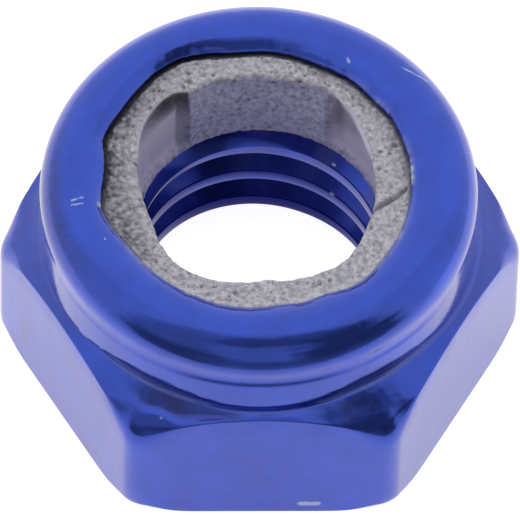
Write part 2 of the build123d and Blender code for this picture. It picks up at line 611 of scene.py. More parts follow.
# %% Rings of the collar
def collar_ring(index):
    """One ring of the collar, with the marks that forming left on it and the painted sheen and
    highlight.
    """
    radius, height = wall_outline[index]
    ring = []
    for angle in nut_angles:
        out, up, wear_and_highlight, dull_and_sheen, stain_and_shade = radius, height, 0.0, 0.0, 0.0
        if radius > roll_center_radius:
            out -= wall_inset(height, angle)
            stain_and_shade = roll_stain(angle, height)
        else:
            out += lip_wander(angle) * lip_share((radius, height))
        if index < roll_first:
            top = around(GROOVE_TOP, angle)
            foot = around(FOOT, angle)
            out = foot + (out - foot) * smooth(height, 2.98, top)
            wear_and_highlight, dull_and_sheen = wall_marks(angle, height, top)
        if roll_last - 5 <= index <= roll_last + 6:
            raised = burr(angle) * smooth(index, roll_last - 3.6, roll_last - 1.2)
            wear_and_highlight = lip_wear_and_highlight(angle, index, raised)
            up += BURR_RISE * raised
            out -= BURR_LEAN * raised
        ring.append((out, up, wear_and_highlight, dull_and_sheen, stain_and_shade))
    return ring


collar_rings = [collar_ring(index) for index in range(len(wall_outline))]
print(len(collar_rings), "rings laid out")

# %% [markdown]
# ## The body in one skin
# The real nut is one piece of metal, so all its rings make one skin: from the mouth of the hole
# over the hexagon and the collar, round the lip, down the recess that holds the nylon, and back
# through the drilled hole. The hole is drilled a little small here, because the tap cuts it later.

# %% Outline of the drilled hole
drill_radius = minor_radius - 0.1
exit_depth = major_radius - drill_radius
hole_outline = [
    (recess_radius, recess_floor),
    (major_radius, recess_floor),
    (drill_radius, recess_floor - exit_depth),
    (drill_radius, mouth_radius - drill_radius),
    (mouth_radius, 0),
]
print("drilled at radius", round(drill_radius, 3), "mm")

# %% Make the nut body
nut_body = start_piece("nut_body_finished", nut_angles, round_ring(nut_angles, (mouth_radius, 0)),
                       ("wear_and_highlight", "dull_and_sheen", "stain_and_shade"))
for ring in hexagon_rings + collar_rings:
    add_ring(nut_body, nut_angles, ring)
for point in hole_outline:
    add_ring(nut_body, nut_angles, round_ring(nut_angles, point))
close_piece(nut_body)
shift_piece_top(nut_body)

# %% [markdown]
# ## Small unevenness
# A polished nut is never perfectly even. Its reflections wander a little, and that is what tells
# the eye it is metal and not plastic. The waves are only a few thousandths of a millimetre high.
# They are real dents in the mesh, so that the exported model has them too.

# %% Make it uneven
UNEVEN = (  # from this height up: size and fineness of the broad waves, then of the fine ones
    (3.0, 0.0032, 1.5, 0.0009, 6),
    (0.3, 0.0036, 2.2, 0.0016, 8),
)
FLAT_WAVES = (0.0009, 0.0003)  # the milled flats are smoother


def make_uneven(piece):
    """Push the outside in by a few thousandths of a millimetre, so that reflections wander."""
    normals = [vertex.normal.copy() for vertex in piece.data.vertices]
    for vertex, normal in zip(piece.data.vertices, normals):
        place = vertex.co
        if hypot(place.x, place.y) < 2.75 or place.z < 0.3:
            continue
        row = next(row for row in UNEVEN if place.z >= row[0])
        level, broad, broad_scale, fine, fine_scale = row
        if abs(normal.z) < 0.02 and place.z < shoulder_height:
            broad, fine = FLAT_WAVES
        wave = broad * noise.noise(place * broad_scale) + fine * noise.noise(place * fine_scale)
        vertex.co = place + normal * (wave - broad)


make_uneven(nut_body)
print("waves of up to", max(row[1] for row in UNEVEN), "mm")

# %% [markdown]
# ## The thread
# A real nut is drilled and then tapped. The tap is made the same way here: one pitch of the
# thread's outline, wound up the axis by a Screw modifier, and then subtracted from the body.
# Winding the thread straight onto the nut would leave its two ends open, and the cut closes them
# by itself.

# %% Outline of the tap
crest_round = 0.05
root_round = 0.04
flank = (major_radius - minor_radius) * tan(radians(30))
crest_flat = 0.26
root_flat = thread_pitch - crest_flat - 2 * flank
FIRST_CREST = 0.69  # height of the lowest full crest at the back of the hole

crest_low, crest_high = (minor_radius, -crest_flat / 2), (minor_radius, crest_flat / 2)
root_low = (major_radius, crest_flat / 2 + flank)
root_high = (major_radius, crest_flat / 2 + flank + root_flat)
next_crest = (minor_radius, thread_pitch - crest_flat / 2)
one_pitch = [(minor_radius, 0)]
one_pitch += rounded(crest_low, crest_high, root_low, crest_round, 3)
one_pitch += rounded(crest_high, root_low, root_high, root_round, 3)
one_pitch += rounded(root_low, root_high, next_crest, root_round, 3)
one_pitch += rounded(root_high, next_crest, (minor_radius, thread_pitch), crest_round, 3)
one_pitch += [(minor_radius, thread_pitch)]
print(len(one_pitch), "points in one pitch")


# %% Wind the tap
def draw_outline(name, points):
    """An open outline in the XZ plane: one vertex, extruded from point to point."""
    bpy.ops.object.select_all(action="DESELECT")
    bpy.ops.mesh.primitive_plane_add(size=1)
    outline = bpy.context.object
    outline.name = name
    bpy.ops.object.mode_set(mode="EDIT")
    bpy.ops.mesh.select_all(action="SELECT")
    bpy.ops.mesh.merge(type="CENTER")
    bpy.ops.transform.translate(value=(points[0][0], 0, points[0][1]))
    for here, there in zip(points, points[1:]):
        step = (there[0] - here[0], 0, there[1] - here[1])
        bpy.ops.mesh.extrude_vertices_move(TRANSFORM_OT_translate={"value": step})
    bpy.ops.object.mode_set(mode="OBJECT")
    return outline


TAP_TURNS = 7
TAP_WELD = 0.0005  # mm
tap = draw_outline("tap", one_pitch)
winding = tap.modifiers.new("winding", "SCREW")
winding.angle = TURN
winding.screw_offset = thread_pitch
winding.iterations = TAP_TURNS
winding.steps = winding.render_steps = 144
winding.use_merge_vertices = True
winding.merge_threshold = TAP_WELD
bpy.ops.object.modifier_apply(modifier="winding")
tap.location.z = FIRST_CREST - thread_pitch / 4 - 2 * thread_pitch
bpy.ops.object.transform_apply(location=True)
print("tap", len(tap.data.vertices), "vertices")

# %% Close the tap and turn it the right way out
bpy.ops.object.mode_set(mode="EDIT")
bpy.ops.mesh.select_all(action="SELECT")
bpy.ops.mesh.remove_doubles(threshold=TAP_WELD)
bpy.ops.mesh.fill_holes(sides=0)
bpy.ops.mesh.normals_make_consistent(inside=False)
if bmesh.from_edit_mesh(tap.data).calc_volume(signed=True) < 0:
    bpy.ops.mesh.flip_normals()
print("volume of the tap", round(bmesh.from_edit_mesh(tap.data).calc_volume(signed=True), 1), "mm3")
bpy.ops.object.mode_set(mode="OBJECT")

# %% Cut the thread
bpy.ops.object.select_all(action="DESELECT")
bpy.context.view_layer.objects.active = nut_body
nut_body.select_set(True)
tapping = nut_body.modifiers.new("tapping", "BOOLEAN")
tapping.operation = "DIFFERENCE"
tapping.solver = "EXACT"
tapping.object = tap
bpy.ops.object.modifier_apply(modifier="tapping")
bpy.data.objects.remove(tap)
print("threaded body", len(nut_body.data.vertices), "vertices",
      len(nut_body.data.polygons), "faces")

# %% [markdown]
# ## Oil and painted shade in the thread
# Cutting oil stays in a thread after tapping. This mark darkens the grooves with oil and with
# painted shade and dark reflections, almost black at the back of the hole and on a few turns, and
# little on the crests. The cut made new vertices, so this mark is added after it, from each
# vertex's place. Taking the climb of the helix off its height says which turn of the thread a
# vertex belongs to.

# %% Mark the oil and the painted shade
HOLE_EDGE = 2.62  # mm, just inside the mouth of the hole
HOLE_TOP = 3.25  # mm


def oil_and_shade_share(place):
    """How dark a point of the hole is painted, with oil and with shade and dark reflections: much
    in the grooves, little on the crests.
    """
    radius = hypot(place.x, place.y)
    if radius > HOLE_EDGE or place.z > HOLE_TOP:
        return 0.0
    turn = degrees(atan2(place.y, place.x)) % 360
    from_back = (turn + 90) % 360 - 180
    level = place.z - from_back / 360 * thread_pitch
    away = smooth(abs(from_back), 28, 62)
    groove = 0.15 + (0.78 - 0.62 * away) * smooth(radius, 2.14, 2.4)
    exit_end = (0.98 - 0.8 * away) * smooth(level, 2.39, 2.44)
    lowest = (1 - 0.4 * away) * smooth(level, 1.25, 0.9)
    second = (0.9 - 0.4 * away) * smooth(level, 1.4, 1.56) * smooth(level, 2.05, 1.85)
    left = 0.75 * smooth(turn, 114, 136) * smooth(turn, 250, 200) * smooth(radius, 2.3, 2.16)
    return max(groove, exit_end, lowest, second, left)


oil_and_shade_mark = nut_body.data.attributes.new("oil_and_shade", "FLOAT", "POINT")
for spot, vertex in zip(oil_and_shade_mark.data, nut_body.data.vertices):
    spot.value = oil_and_shade_share(vertex.co)
print(sum(spot.value > 0.5 for spot in oil_and_shade_mark.data), "oily vertices")

# %% [markdown]
# ## The nylon ring
# The ring is moulded and then squeezed by the rolled lip. Its top is bare and full of small pits,
# and its edge to the hole is uneven. At the back of the hole there are two smooth shallow pockets
# with a rough, pitted wall between them, and on the right a narrow crack runs outwards. It is
# built with the same ring tools as the body, on its own outline, with closer rings: the pits are
# real dents, and a dent needs a few vertices across.

# %% Corners of the ring's outline
EDGE_GAP = 0.03  # mm between the lip's edge and the ring's top
CROWN_DROP = 0.045  # mm from the lip's edge down to the ring's top
LIP_GRIP = 0.2  # mm of the lip's end face that bears on the nylon
BORE_ROUND = 0.1
FOOT_ROUND = 0.15
insert_top = lip_outer[1] - CROWN_DROP
grip_end = tuple(c + (roll_inner_radius + LIP_GRIP) * s for c, s in zip(roll_center, end_spoke))
crown_edge = (lip_edge_radius - EDGE_GAP, insert_top)
bore_edge = (insert_bore_radius, insert_top)
bore_foot = (insert_bore_radius, recess_floor)
print("ring's top at", round(insert_top, 3), "mm")

# %% Outline of the ring
TOP_RINGS = 26
WALL_RINGS = 46
DIRECTIONS = 720
insert_outline = arc(roll_center, roll_inner_radius, 0, 90 + lip_wrap, 8)
grip_first = len(insert_outline)
insert_outline += rounded(lip_inner, grip_end, crown_edge, 0.02, 1)
insert_outline += rounded(grip_end, crown_edge, bore_edge, 0.05, 3)
top_first = len(insert_outline)
top_outer = crown_edge[0] - 0.03
top_inner = bore_edge[0] + BORE_ROUND + 0.01
for i in range(1, TOP_RINGS):
    radius = top_outer + (top_inner - top_outer) * i / TOP_RINGS
    insert_outline.append((radius, insert_top))
insert_outline += rounded(crown_edge, bore_edge, bore_foot, BORE_ROUND, 7)
wall_height = insert_top - recess_floor - BORE_ROUND - FOOT_ROUND
for i in range(1, WALL_RINGS):
    height = insert_top - BORE_ROUND - wall_height * i / WALL_RINGS
    insert_outline.append((insert_bore_radius, height))
insert_outline += rounded(bore_edge, bore_foot, (recess_radius, recess_floor), FOOT_ROUND, 5)
wall_last = len(insert_outline)
insert_outline += [(recess_radius, recess_floor), (recess_radius, roll_center_height)]
insert_angles = [TURN * i / DIRECTIONS for i in range(DIRECTIONS)]
print(len(insert_outline), "rings of", len(insert_angles), "points")

# %% Tables of the ring
BITE = (  # how far the rim is bitten away over the left pocket, in mm
    (0, 0.0), (118, 0.0), (124, 0.06), (128, 0.15), (134, 0.17), (142, 0.13), (151, 0.08),
    (160, 0.03), (168, 0.0), (300, 0.0),
)
BORE_WANDER = (  # distance outwards at the top edge of the hole, in mm
    (0, -0.125), (22, -0.14), (40, -0.025), (60, 0.107), (72, 0.075), (90, 0.035), (106, 0.07),
    (118, 0.07), (126, 0.03), (149, 0.06), (162, 0.022), (173, -0.03), (185, -0.085),
    (195, -0.115), (206, -0.087), (215, -0.007), (232, 0.1), (241, 0.085), (250, 0.045),
    (259, -0.01), (268, -0.06), (274, -0.103), (281, -0.04), (296, 0.01), (311, 0.057),
    (321, 0.01), (331, -0.055), (343, -0.09),
)
RIM_GAP = (  # how far the ring has shrunk away from the lip, from 0 to 1
    (0, 0.15), (25, 0.3), (55, 0.45), (85, 0.6), (110, 0.9), (150, 1.0), (180, 0.9), (200, 0.5),
    (220, 0.1), (240, 0.0), (300, 0.0), (340, 0.05),
)
print("the hole wanders by", BORE_WANDER[1][1], "to", BORE_WANDER[3][1], "mm")

# %% [markdown]
# ## Pits
# Pits are round, they come in several sizes and they don't lie in rows. A bump map could fake
# them, but dents in the mesh catch the light at their edges and go along when the model is
# exported. A Voronoi pattern scatters one point to each cell of space, and each point gets a
# steady number of its own, which decides whether there is a pit and how wide it is. Three such
# patterns with cells of different sizes are laid over each other.

# %% Scatter the pits
PIT_DEPTH = 0.04  # mm
PITS = (  # cell in mm, share of cells with a pit, smallest and largest radius in mm, depth, shift
    (0.085, 0.8, 0.016, 0.04, 0.5, (0, 0, 0)),
    (0.13, 0.6, 0.025, 0.055, 0.75, (7, 5, 1)),
    (0.26, 0.5, 0.04, 0.08, 0.9, (3, 1, 2)),
)


def random_value(point, seed):
    """A steady value between 0 and 1 that belongs to a point."""
    value = sin(point.dot(Vector((12.99, 78.23, 37.72))) + seed) * 43758.55
    return value % 1


def pit_share(place, cell, chance, smallest, largest):
    """Depth, from 0 to 1, of the round pits scattered one to a cell of space."""
    distances, points = noise.voronoi(place / cell)
    if random_value(points[0], 1.0) > chance:
        return 0.0
    reach = smallest + (largest - smallest) * random_value(points[0], 5.0) ** 2
    return max(0.0, 1 - (distances[0] * cell / reach) ** 2)


def pitting(place):
    """Depth of the deepest pit at a place, from 0 to 1."""
    return max(depth * pit_share(place + Vector(shift), cell, chance, smallest, largest)
               for cell, chance, smallest, largest, depth, shift in PITS)


def lumps(place):
    """Height in mm of the soft lumps between the pits."""
    return (noise.noise(place * 5) * 0.014 + noise.noise(place * 13) * 0.01
            + noise.noise(place * 30) * 0.005)


print("pits up to", 2 * max(row[3] for row in PITS), "mm wide")

# %% Pockets and the wall of the hole
POCKET_DEPTH = 0.1  # mm
deepest_bite = max(row[1] for row in BITE)


def pocket_share(turn, height):
    """Where the two smooth pockets are, from 0 to 1. The left one has a steep right-hand side."""
    left = smooth(turn, 122.5, 127) * smooth(turn, 171, 158)
    right = smooth(turn, 58, 52) * smooth(turn, 12, 22)
    return (left + right) * smooth(height, 2.88, 3.2)


def pocket_shade(turn, height):
    """Painted shade in the corners of the two pockets and under the bitten rim, from 0 to 1."""
    arch = around(BITE, radians(turn)) / deepest_bite * smooth(height, 4.02, 4.22)
    left = smooth(turn, 122, 123.5) * smooth(turn, 130.5, 128.5)
    left *= (0.45 + 0.55 * smooth(height, 3.6, 4.3)) * smooth(height, 2.75, 3.1)
    right = 0.42 * smooth(turn, 59, 56) * smooth(turn, 44, 52) * smooth(height, 2.9, 3.7)
    right += 0.38 * smooth(turn, 56, 50) * smooth(turn, 33, 44) * smooth(height, 3.45, 3.85)
    return min(max(arch, left, right), 1.0) * smooth(height, 4.46, 4.41)


def bore_offset(angle, height):
    """How far the hole's wall lies outside its nominal radius."""
    turn = degrees(angle) % 360
    fade = 3.5 + 0.6 * pocket_share(turn, 4.0)
    offset = around(BORE_WANDER, angle) * smooth(height, fade, 4.36)
    offset += around(BITE, angle) * smooth(height, 4.1, 4.4)
    return offset + POCKET_DEPTH * pocket_share(turn, height) * smooth(height, 4.37, 4.24)


def crack_share(turn, radius):
    """How deep inside the crack a point of the ring's top is, from 0 to 1."""
    off = abs((turn + 180) % 360 - 180 + 11.5 - 30 * (radius - 2.37))
    return smooth(off, 1.8, 0.6) * smooth(radius, 2.0, 2.2)


print("pockets", POCKET_DEPTH, "mm deep and a bite of", deepest_bite, "mm")

# %% [markdown]
# ## Where the ring meets the lip
# At the back and on the left the nylon has shrunk away from the lip, and the gap is painted dark,
# with grime and with the shade that falls into it. At the front the lip presses so hard that the
# nylon bulges up against it. One table says how wide the gap is, and everything else at the edge
# follows from it.

# %% Fit of the ring in the lip
BULGE_RISE = 0.045  # mm, like the sizes below
BULGE_OUT = 0.03
GRIP_OUT = 0.034  # the same under the lip, where the nylon is held
GAP_DROP = 0.055
CRACK_DEPTH = 0.07


def lip_fit(radius, angle):
    """Gap to the lip, tightness at the front, ragged edge in mm, and nearness to the lip."""
    gap = max(around(RIM_GAP, angle), 0.0)
    tight = (1 - gap) * smooth(from_front(angle), 95, 70)
    ragged = 0.045 * noise.noise(Vector((cos(angle), sin(angle), 1.3)) * 14)
    ragged += 0.02 * noise.noise(Vector((cos(angle), sin(angle), 4.1)) * 40)
    near = smooth(radius + ragged, crown_edge[0] - 0.02 - 0.045 * gap, crown_edge[0])
    return gap, tight, ragged, near


def gap_grime_and_shade(gap):
    """How dark the gap is painted, with grime and with the shade that falls into it."""
    return (0.4 + 0.5 * gap) * smooth(gap, 0, 0.15)


def top_grime_and_shade(place, radius, turn, fit):
    """Darkening of the ring's top: grime and painted shade in the gap, and dark speckles along the
    lip on the left and right.
    """
    gap, tight, ragged, near = fit
    left = smooth(turn, 95, 150) * smooth(turn, 240, 205)
    right = smooth(turn, 95, 60) * smooth(turn, -10, 10)
    border = smooth(radius + 2 * ragged, crown_edge[0] - 0.3 - 0.25 * left, crown_edge[0] - 0.05)
    speckle = 0.62 + 0.6 * noise.noise(place * 16)
    return max(gap_grime_and_shade(gap) * smooth(near, 0.15, 0.95), speckle * border * max(left, 0.6 * right))


print("grime in the widest part of the gap", gap_grime_and_shade(1.0))


# %% Which way the surface faces
def outward(index):
    """Direction straight out of the ring's surface at a point of its outline."""
    back = Vector(insert_outline[index - 1])
    ahead = Vector(insert_outline[index + 1])
    return Vector((ahead.y - back.y, back.x - ahead.x)).normalized()


print("the middle of the top faces", tuple(round(x, 2) for x in outward(top_first + 12)))


# %% Points of the ring
def insert_point(index, angle):
    """A point of the surface: its radius and height, then its pit mark, its grime and painted
    shade, and its polish and painted light.
    """
    radius, height = insert_outline[index]
    turn = degrees(angle) % 360
    lip = lip_wander(angle)
    if index >= wall_last:
        return radius, height, 0.0, 0.0, 0.0
    if index < grip_first:
        return radius + lip * lip_share((radius, height)), height, 0.0, 0.0, 0.0
    gap, tight, ragged, near = fit = lip_fit(radius, angle)
    drop = GAP_DROP * gap * near
    if index < top_first:
        return (radius + lip + GRIP_OUT * tight, height - drop + BULGE_RISE * tight,
                0.0, gap_grime_and_shade(gap), 0.0)
    across = smooth(radius, insert_bore_radius, crown_edge[0] - 0.1)
    out_by = bore_offset(angle, height) * (1 - across) + lip * across + BULGE_OUT * tight * near
    place = Vector((radius * cos(angle), radius * sin(angle), height))
    inside = radius < insert_bore_radius + 0.05
    pocket = pocket_share(turn, height) if inside else 0.0
    rough = 1 - 0.9 * pocket
    pit = pitting(place) * rough
    sink = pit * PIT_DEPTH - lumps(place) * rough
    split = crack_share(turn, radius)
    drop += CRACK_DEPTH * split
    drop -= BULGE_RISE * tight * smooth(radius, crown_edge[0] - 0.1, crown_edge[0])
    shade = 0.95 * pocket_shade(turn, height) if inside else 0.0
    # grime and painted shade: the gap, the pockets' corners and the crack are painted dark
    grime_and_shade = max(top_grime_and_shade(place, radius, turn, fit), shade, 0.55 * split)
    out = outward(index)
    # the smooth pockets are painted paler, as light falling in them
    return (radius + out_by - out.x * sink, height - drop - out.y * sink,
            pit, grime_and_shade, pocket * (1 - grime_and_shade))


# %% Make the nylon ring
first = [insert_point(0, angle) for angle in insert_angles]
nylon = start_piece("nylon_insert_finished", insert_angles, first, ("pit", "grime_and_shade", "polish_and_light"))
for index in range(1, len(insert_outline)):
    add_ring(nylon, insert_angles, [insert_point(index, angle) for angle in insert_angles])
close_piece(nylon)
shift_piece_top(nylon)

# %% [markdown]
# ## Off the bench
# The pieces were drawn in millimetres, because that is how a nut is thought of. The frame counts
# in metres, so each mesh is scaled once and the scale is applied. Faces that meet at a small angle
# are then shaded as one smooth surface, and crisp edges stay crisp.

# %% Scale and shade
SHARP_METAL = 30  # degrees between two faces, from which an edge stays crisp
SHARP_NYLON = 60


def to_metres(piece, sharp_angle):
    """Scale a finished piece from bench millimetres to metres and set its shading."""
    bpy.ops.object.select_all(action="DESELECT")
    bpy.context.view_layer.objects.active = piece
    piece.select_set(True)
    piece.scale = (MM, MM, MM)
    bpy.ops.object.transform_apply(location=False, rotation=False, scale=True)
    bpy.ops.object.shade_smooth_by_angle(angle=radians(sharp_angle))
    print(piece.name, "is", round(piece.dimensions.x / MM, 2), "mm wide")


to_metres(nut_body, SHARP_METAL)
to_metres(nylon, SHARP_NYLON)

# %% [markdown]
# ## Finishes
# Two finishes are mixed from shader nodes: blue anodised aluminium and pale nylon. A colour is
# written as the hex value that a paint chart would give, and made linear in one place. Patterns
# are counted in millimetres of the object, so they keep their real size on every piece.

# %% Colours
def linear(hex_colour):
    """An sRGB hex colour as linear RGBA."""
    parts = [int(hex_colour[i : i + 2], 16) / 255 for i in (1, 3, 5)]
    return [c / 12.92 if c <= 0.04045 else ((c + 0.055) / 1.055) ** 2.4 for c in parts] + [1.0]


print("middle grey #808080 is", round(linear("#808080")[0], 3), "in linear light")

# %% Nodes
UNDER, OVER, MIXED = 6, 7, 2  # sockets of a colour mix: the colour below, the one above, the result


def add_node(tree, kind, settings=None, links=None):
    """Add a node, set its properties or its sockets' values, and link its inputs."""
    node = tree.nodes.new("ShaderNode" + kind)
    for key, value in (settings or {}).items():
        if isinstance(key, str) and hasattr(node, key):
            setattr(node, key, value)
        else:
            node.inputs[key].default_value = value
    for key, socket in (links or {}).items():
        tree.links.new(socket, node.inputs[key])
    return node


def new_material(name):
    """A material with its node tree and its Principled shader."""
    material = bpy.data.materials.new(name)
    material.use_nodes = True
    return material, material.node_tree, material.node_tree.nodes["Principled BSDF"]


def in_millimetres(tree):
    """Object coordinates counted in millimetres."""
    where = add_node(tree, "TexCoord")
    return add_node(tree, "VectorMath", {"operation": "SCALE", "Scale": 1 / MM},
                    {0: where.outputs["Object"]}).outputs[0]


print("a metre of the object counts as", round(1 / MM), "in the patterns")

# %% [markdown]
# ## Blue anodised aluminium
# The body is polished aluminium that was anodised: acid grows a thin, clear skin of oxide, the
# skin soaks up blue dye, and hot water seals it. Light passes through the blue, is mirrored by the
# metal and comes back blue. A blue plastic under a clear coat would be simpler, but its colour
# wouldn't mirror the room. So the shader is a metal with a deep blue colour. The sealed skin also
# mirrors a little white by itself, and a clear coat does that. To the eye it is a deep, wet blue
# with crisp pale highlights. Four marks on the mesh change it from place to place.

# %% Marks on the metal
blue, tree, shader = new_material("blue_anodised_aluminium")
place = in_millimetres(tree)
marks = {name: add_node(tree, "Attribute", {"attribute_name": name}).outputs["Fac"]
         for name in ("wear_and_highlight", "dull_and_sheen", "stain_and_shade", "oil_and_shade")}
print(blue.name, "reads", ", ".join(marks))

# %% [markdown]
# ## Scratches, chips and glints
# Tools and other parts in the drawer have left a few chips and short scratches. The bright ones go
# through the dye to bare metal, and the dark ones only bruise it. Three bright ones are painted
# glints: one on the lip and two on the crests of the thread. They could be painted on an image,
# but that needs the mesh to be unwrapped. Here each is a short line in space, and the shader asks
# how near a place is to it. The place is shaken a little first, so that the scratch gets a ragged
# edge.

# %% Where they are
CHIPS_AND_GLINTS = (  # start, end and half width in mm
    # a painted glint on the lip
    ((-2.84, -0.58, 4.56), (-2.84, -0.58, 4.56), 0.075),
    ((-2.73, -1.36, 4.68), (-2.73, -1.36, 4.68), 0.025),
    ((1.53, 2.44, 4.64), (1.56, 2.36, 4.65), 0.04),
    ((2.45, 2.25, 4.68), (2.97, 1.99, 4.56), 0.025),
    ((-3.31, -0.56, 4.68), (-3.12, -0.52, 4.69), 0.03),
    ((-3.31, -0.66, 4.68), (-3.12, -0.64, 4.69), 0.028),
    ((-3.62, -0.63, 4.46), (-3.37, -1.31, 4.53), 0.03),
    ((0.69, -4.0, 0.28), (0.99, -4.0, 0.28), 0.085),
    ((-1.78, -3.79, 2.72), (-1.76, -3.80, 2.72), 0.025),
    ((1.71, -3.93, 2.66), (1.75, -3.92, 2.64), 0.03),
    # painted glints on two crests of the thread
    ((1.30, 1.76, 2.38), (1.33, 1.73, 2.38), 0.033),
    ((1.29, 1.70, 1.53), (1.33, 1.67, 1.53), 0.036),
)
DARK_MARKS = (
    ((-4.16, -0.79, 1.57), (-4.13, -0.85, 0.55), 0.05),
    ((-3.90, -1.25, 0.82), (-3.88, -1.28, 0.39), 0.05),
    ((-3.58, -1.79, 0.53), (-3.24, -2.40, 0.49), 0.05),
    ((-2.89, -3.0, 0.42), (-2.80, -3.1, 0.40), 0.05),
    ((2.13, -3.89, 2.54), (2.29, -3.96, 2.30), 0.08),
)
print(len(CHIPS_AND_GLINTS), "bright marks and", len(DARK_MARKS), "dark ones")


# %% How near a place is to a scratch
DOT = 1e-6  # a chip is a line without length, and this keeps it from dividing by zero
FULL = 0.3  # share of its half width over which a scratch is at full strength


def near_line(tree, place, start, end, width):
    """How near a place is to a short line: 1 on it, 0 at its half width and beyond."""
    start, way = Vector(start), Vector(end) - Vector(start)
    rise = way / max(way.length_squared, DOT)
    step = add_node(tree, "VectorMath", {"operation": "SUBTRACT", 1: start}, {0: place})
    along = add_node(tree, "VectorMath", {"operation": "DOT_PRODUCT", 1: rise},
                     {0: step.outputs[0]})
    share = add_node(tree, "MapRange", {}, {0: along.outputs["Value"]})
    foot = add_node(tree, "VectorMath", {"operation": "SCALE", 0: way},
                    {"Scale": share.outputs[0]})
    gap = add_node(tree, "VectorMath", {"operation": "DISTANCE"},
                   {0: step.outputs[0], 1: foot.outputs[0]})
    return add_node(tree, "MapRange",
                    {"interpolation_type": "SMOOTHSTEP", 1: width, 2: FULL * width, 3: 0, 4: 1},
                    {0: gap.outputs["Value"]}).outputs[0]


def strongest(tree, values):
    """The largest of several mask values."""
    top = values[0]
    for value in values[1:]:
        top = add_node(tree, "Math", {"operation": "MAXIMUM"}, {0: top, 1: value}).outputs[0]
    return top


print("a scratch is at full strength up to", FULL, "of its half width")

# %% Lay the scratches
RAGGED = 0.07  # mm that the edge of a scratch wanders
RAGGED_GRAIN = 0.111  # mm from one wiggle to the next
shiver = add_node(tree, "TexNoise", {"Scale": 1 / RAGGED_GRAIN, "Detail": 3}, {0: place})
jitter = add_node(tree, "VectorMath", {"operation": "MULTIPLY_ADD", 1: (RAGGED,) * 3},
                  {0: shiver.outputs["Color"], 2: place})
shaken = add_node(tree, "VectorMath", {"operation": "SUBTRACT", 1: (RAGGED / 2,) * 3},
                  {0: jitter.outputs[0]}).outputs[0]
chips_and_glints = strongest(tree, [near_line(tree, shaken, *mark) for mark in CHIPS_AND_GLINTS])
bruised = strongest(tree, [near_line(tree, shaken, *mark) for mark in DARK_MARKS])
print("the scratches took", len(tree.nodes), "nodes")

# %% [markdown]
# ## Colour of the metal
# Dye soaks in unevenly, so the blue is cloudy in patches a little under a millimetre wide. Over it
# lie, one after the other, dark blotchy stains with painted shade and dark reflections, oil with
# painted shade, the greyer dull places with painted sheen, and the bruises. The edges come last:
# handling rubs the dye thin, to lilac, and then through to silver, and painted highlights take the
# same colours. Each layer is mixed over the one before it, so each can be changed by itself.

# %% The dye and what lies on it
CLOUD_SIZE = 0.77  # mm
BLOTCH_SIZE = 0.25  # mm
cloud = add_node(tree, "TexNoise", {"Scale": 1 / CLOUD_SIZE, "Detail": 5, "Roughness": 0.6},
                 {0: place})
clouds = add_node(tree, "MapRange", {1: 0.35, 2: 0.65, 3: 0, 4: 1}, {0: cloud.outputs[0]})
dye = add_node(tree, "Mix", {"data_type": "RGBA", UNDER: linear("#0041C9"),
                             OVER: linear("#084CDC")}, {0: clouds.outputs[0]})
blotch = add_node(tree, "TexNoise", {"Scale": 1 / BLOTCH_SIZE, "Detail": 4, "Roughness": 0.6},
                  {0: place})
blotches = add_node(tree, "MapRange", {1: 0.32, 2: 0.6, 3: 0.45, 4: 1}, {0: blotch.outputs[0]})
stain_and_shade_cover = add_node(tree, "Math", {"operation": "MULTIPLY"},
                 {0: blotches.outputs[0], 1: marks["stain_and_shade"]})
dulling_and_sheen = add_node(tree, "Math", {"operation": "MULTIPLY", 1: 0.75}, {0: marks["dull_and_sheen"]})
bruise = add_node(tree, "Math", {"operation": "MULTIPLY", 1: 0.35}, {0: bruised})
dyed = dye.outputs[MIXED]
# the first colour is stain and painted shade, the second oil and painted shade, the third dull and
# painted sheen
for cover, hex_colour in ((stain_and_shade_cover.outputs[0], "#022C98"), (marks["oil_and_shade"], "#0C1878"),
                          (dulling_and_sheen.outputs[0], "#3C45A8"), (bruise.outputs[0], "#10245E")):
    layer = add_node(tree, "Mix", {"data_type": "RGBA", OVER: linear(hex_colour)},
                     {0: cover, UNDER: dyed})
    dyed = layer.outputs[MIXED]
print("dye clouds", CLOUD_SIZE, "mm wide, stains", BLOTCH_SIZE, "mm")

# %% Rubbed edges, painted highlights, chips and painted glints
# worn edges and painted highlights both turn lilac, then silver
to_bare_and_highlight = add_node(tree, "MapRange",
                   {"interpolation_type": "SMOOTHSTEP", 1: 0.5, 2: 0.95, 3: 0, 4: 1},
                   {0: marks["wear_and_highlight"]})
bare_and_highlight = add_node(tree, "Mix", {"data_type": "RGBA", UNDER: linear("#6C78DE"),
                              OVER: linear("#C9DDF4")}, {0: to_bare_and_highlight.outputs[0]})
rubbed_and_highlit = add_node(tree, "Mix", {"data_type": "RGBA"},
                  {0: marks["wear_and_highlight"], UNDER: dyed, OVER: bare_and_highlight.outputs[MIXED]})
# chips, and painted glints
chipped_and_glinting = add_node(tree, "Math", {"operation": "MULTIPLY", 1: 0.75}, {0: chips_and_glints})
colour = add_node(tree, "Mix", {"data_type": "RGBA", OVER: linear("#C6D3F2")},
                  {0: chipped_and_glinting.outputs[0], UNDER: rubbed_and_highlit.outputs[MIXED]})
tree.links.new(colour.outputs[MIXED], shader.inputs["Base Color"])
print(len(tree.nodes), "nodes up to the colour")

# %% [markdown]
# ## Shine of the metal
# Turning and polishing leave fine streaks, which stretch a highlight and make it look brushed.
# Real ones are about 0.02 mm wide. They are drawn coarser here, 0.11 mm wide and 2 mm long,
# because finer ones would only flicker. Worn and dull places, and those painted as highlight, sheen
# and glint, scatter light and mirror less, so there the surface is rougher and less metallic.

